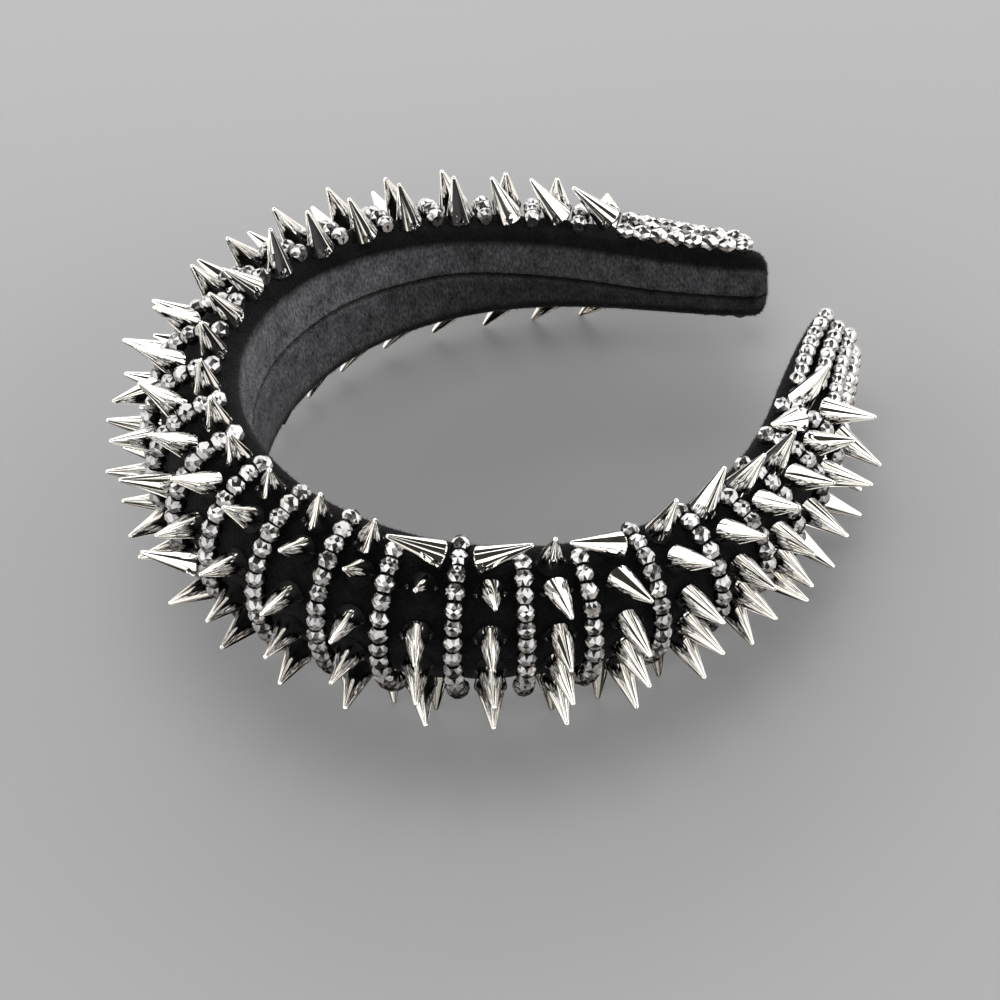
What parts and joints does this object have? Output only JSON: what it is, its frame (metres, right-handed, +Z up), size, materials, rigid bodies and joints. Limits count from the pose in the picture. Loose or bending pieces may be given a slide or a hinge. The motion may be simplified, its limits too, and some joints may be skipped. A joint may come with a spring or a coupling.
{
  "type": "spiked headband",
  "caption": "Wide padded velvet headband that tapers to round ends, covered with rows of chrome cone spikes between strands of faceted beads; it lies on its side.",
  "frame": {"origin": "middle of the part's box, on the surface that the headband lies on", "axes": "+Z up from the surface; +Y from the crown towards the gap between the band's two ends; +X across, towards the end with the higher row numbers"},
  "size_m": [0.1628, 0.1614, 0.0616],
  "materials": {
    "black_velvet": "short black velvet pile with a grey sheen at a slant, pressed flat on the inner face",
    "chrome_spikes": "metallised mirror chrome",
    "hematite_glass_beads": "faceted glass rondelles with a dark hematite mirror coat, silver on the upper rim",
    "silver_glass_beads": "faceted glass rondelles with a silver mirror coat"
  },
  "bodies": {
    "root": {"velvet_band": "black_velvet", "left_end_beads": "silver_glass_beads", "right_end_beads": "silver_glass_beads", "spike_row_1": "chrome_spikes", "spike_row_2": "chrome_spikes", "spike_row_3": "chrome_spikes", "spike_row_4": "chrome_spikes", "spike_row_5": "chrome_spikes", "spike_row_6": "chrome_spikes", "spike_row_7": "chrome_spikes", "spike_row_8": "chrome_spikes", "spike_row_9": "chrome_spikes", "spike_row_10": "chrome_spikes", "spike_row_11": "chrome_spikes", "spike_row_12": "chrome_spikes", "spike_row_13": "chrome_spikes", "spike_row_14": "chrome_spikes", "spike_row_15": "chrome_spikes", "spike_row_16": "chrome_spikes", "spike_row_17": "chrome_spikes", "spike_row_18": "chrome_spikes", "spike_row_19": "chrome_spikes", "spike_row_20": "chrome_spikes", "spike_row_21": "chrome_spikes", "spike_row_22": "chrome_spikes", "spike_row_23": "chrome_spikes", "spike_row_24": "chrome_spikes", "spike_row_25": "chrome_spikes", "spike_row_26": "chrome_spikes", "spike_row_27": "chrome_spikes", "bead_strand_1": "hematite_glass_beads", "bead_strand_2": "hematite_glass_beads", "bead_strand_3": "hematite_glass_beads", "bead_strand_4": "hematite_glass_beads", "bead_strand_5": "hematite_glass_beads", "bead_strand_6": "hematite_glass_beads", "bead_strand_7": "hematite_glass_beads", "bead_strand_8": "hematite_glass_beads", "bead_strand_9": "hematite_glass_beads", "bead_strand_10": "hematite_glass_beads", "bead_strand_11": "hematite_glass_beads", "bead_strand_12": "hematite_glass_beads", "bead_strand_13": "hematite_glass_beads", "bead_strand_14": "hematite_glass_beads", "bead_strand_15": "hematite_glass_beads", "bead_strand_16": "hematite_glass_beads", "bead_strand_17": "hematite_glass_beads", "bead_strand_18": "hematite_glass_beads", "bead_strand_19": "hematite_glass_beads", "bead_strand_20": "hematite_glass_beads", "bead_strand_21": "hematite_glass_beads", "bead_strand_22": "hematite_glass_beads", "bead_strand_23": "hematite_glass_beads", "bead_strand_24": "hematite_glass_beads", "bead_strand_25": "hematite_glass_beads", "bead_strand_26": "hematite_glass_beads"}
  },
  "joints": []
}
